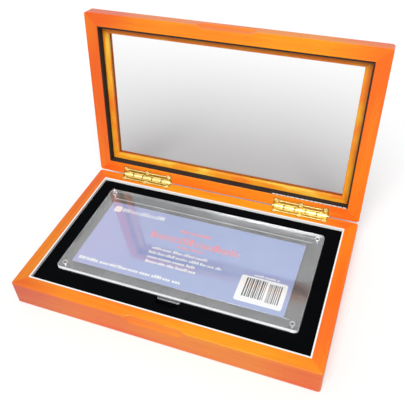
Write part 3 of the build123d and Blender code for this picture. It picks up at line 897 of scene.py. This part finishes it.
def hinge_trim(hinge, leaf, first_knuckle, up_sign, swing, body):
    """Rosette petals, rope mouldings and swollen knuckle sleeves on one leaf."""
    low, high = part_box(f"{hinge}_hinge_pin")
    middle_x = (low.x + high.x) / 2
    leaf_low, leaf_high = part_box(f"{hinge}_hinge_base_leaf")
    half = (leaf_high.x - leaf_low.x) / 2
    up = Vector((0, 0, up_sign))
    face_z = HINGE_AXIS.z - up_sign * LEAF_DROP
    row_y = HINGE_AXIS.y - LEAF_DEPTH + ROSETTE_RADIUS
    inner_y = HINGE_AXIS.y - INNER_ROPE_PLACE
    spacing = half - ROSETTE_RADIUS
    bm = bmesh.new()
    for index in range(ROSETTE_COUNT):
        heart = Vector((middle_x + (index - 1) * spacing, row_y, face_z))
        for petal in range(PETALS):
            turn = 2 * pi * petal / PETALS
            outward = Vector((cos(turn), sin(turn), 0))
            sideways = Vector((-sin(turn), cos(turn), 0))
            add_petal(bm, heart + outward * PETAL_RING, outward, sideways, up)
    for index in range(ROSETTE_COUNT - 1):
        left = middle_x + (index - 1) * spacing + ROSETTE_RADIUS
        right = left + spacing - 2 * ROSETTE_RADIUS
        for y, radius in ((row_y, ROPE_RADIUS), (inner_y, INNER_ROPE_RADIUS)):
            add_rope(bm, Vector((left, y, face_z)), Vector((right, y, face_z)), up, radius)
    pitch = 2 * half / KNUCKLES
    for index in range(first_knuckle, KNUCKLES, 2):
        start = middle_x - half + (index + SLEEVE_GAP / 2) * pitch
        length = (1 - SLEEVE_GAP) * pitch
        profile = []
        for k in range(SLEEVE_POINTS):
            share = k / (SLEEVE_POINTS - 1)
            bulge = SLEEVE_SWELL * sin(pi * share) ** SLEEVE_FULLNESS
            groove = SLEEVE_GROOVE * (0.5 + 0.5 * cos(2 * pi * share * SLEEVE_GROOVES))
            height = max(SLEEVE_LEAST, bulge - groove * sin(pi * share))
            profile.append((length * share, BARREL_RADIUS + height))
        foot = Vector((start, HINGE_AXIS.y, HINGE_AXIS.z))
        add_lathe(bm, foot, Vector((1, 0, 0)), Vector((0, 1, 0)), profile)
    bm.transform(swing)
    new_piece(f"{hinge}_hinge_{leaf}_trim", bm, [brass_metal], body, angle=50)


def lining_core():
    """The pale core of the lining board: a broken thin line along its edge on the hinge side."""
    low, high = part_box("lid_lining_back")
    # In the shut position the lining's cut edge faces down, and the hinge rail is at the back.
    shut = SWING_OPEN.inverted()
    corners = [shut @ v.co for v in nodes["lid_lining_back"].data.vertices]
    back = max(c.y for c in corners)
    bottom = min(c.z for c in corners)
    x, right = (share * (high.x - low.x) for share in CORE_SPAN)
    y_high = back - CORE_INSET
    y_low = y_high - CORE_WIDTH
    chance = random.Random(CORE_SEED)
    bm = bmesh.new()
    while x < right:
        wide = chance.uniform(*CORE_DASHES) * MM
        outline = [(x, y_low), (x + wide, y_low), (x + wide, y_high), (x, y_high)]
        add_slab(bm, outline, bottom - CORE_RISE, bottom)
        x += wide + chance.uniform(*CORE_GAPS) * MM
    bm.transform(SWING_OPEN)
    new_piece("lining_core", bm, [core_board], "lid")


velvet_insert()
felt_sheet()
card_print()
label_sheet()
pin_highlight_rings()
lining_core()
for hinge in ("left", "right"):
    hinge_trim(hinge, "base", 0, 1, Matrix.Identity(4), "base")
    hinge_trim(hinge, "lid", 1, -1, SWING_OPEN, "lid")


def studio():
    """Pale floor, white surroundings and one large soft key light."""
    mesh = bpy.data.meshes.new("floor")
    corners = [(-FLOOR_HALF, -FLOOR_HALF, 0), (FLOOR_HALF, -FLOOR_HALF, 0),
               (FLOOR_HALF, FLOOR_HALF, 0), (-FLOOR_HALF, FLOOR_HALF, 0)]
    mesh.from_pydata(corners, [], [(0, 1, 2, 3)])
    floor = link(bpy.data.objects.new("floor", mesh))
    floor.location.z = cad_box[0][2] - FLOOR_DROP
    material = bpy.data.materials.new("floor")
    material.use_nodes = True
    tree = material.node_tree
    tree.nodes.clear()
    seen = seen_directly(tree)
    tone = spread(tree, seen, 0, 1, FLOOR_BOUNCE, FLOOR_TONE)
    paper = add_node(tree, "BsdfDiffuse", {"Color": tone})
    white = add_node(tree, "Emission", {"Color": (1, 1, 1, 1), "Strength": 1.0})
    share = calculate(tree, "MULTIPLY", seen, FLOOR_GLOW)
    mixed = add_node(tree, "MixShader", {0: share, 1: paper.outputs[0], 2: white.outputs[0]})
    out = add_node(tree, "OutputMaterial")
    tree.links.new(mixed.outputs[0], out.inputs["Surface"])
    mesh.materials.append(material)

    world = bpy.data.worlds.new("studio")
    bpy.context.scene.world = world
    world.use_nodes = True
    tree = world.node_tree
    strength = spread(tree, seen_directly(tree), 0, 1, AMBIENT, 1.0)
    background = tree.nodes["Background"]
    background.inputs["Color"].default_value = (1, 1, 1, 1)
    tree.links.new(strength, background.inputs["Strength"])

    key = bpy.data.lights.new("key", "SUN")
    key.angle = KEY_SPREAD
    key.energy = KEY_LEVEL * pi
    lamp = link(bpy.data.objects.new("key", key))
    lamp.rotation_euler = (-KEY_FROM).to_track_quat("-Z", "Y").to_euler()


def seen_directly(tree):
    """One for camera rays and for what glossy and clear surfaces show, and zero for lighting."""
    path = add_node(tree, "LightPath").outputs
    mirrored = calculate(tree, "MAXIMUM", path["Is Glossy Ray"], path["Is Transmission Ray"])
    return calculate(tree, "MAXIMUM", path["Is Camera Ray"], mirrored)


def camera():
    """A camera at the photograph's viewing angle."""
    forward = Vector((-sin(CAMERA_AZIMUTH) * cos(CAMERA_ELEVATION),
                      cos(CAMERA_AZIMUTH) * cos(CAMERA_ELEVATION), -sin(CAMERA_ELEVATION)))
    level_right = forward.cross(Vector((0, 0, 1))).normalized()
    level_up = level_right.cross(forward)
    right = level_right * cos(CAMERA_ROLL) + level_up * sin(CAMERA_ROLL)
    up = right.cross(forward)
    data = bpy.data.cameras.new("camera")
    data.sensor_width = SENSOR_WIDTH
    data.lens = FOCAL_LENGTH
    data.clip_start = CAMERA_NEAR
    placed = link(bpy.data.objects.new("camera", data))
    turn = Matrix((right, up, -forward)).transposed()
    placed.matrix_world = Matrix.Translation(CAMERA_PLACE) @ turn.to_4x4()
    bpy.context.scene.camera = placed


studio()
camera()
bpy.context.scene.view_settings.view_transform = "Standard"
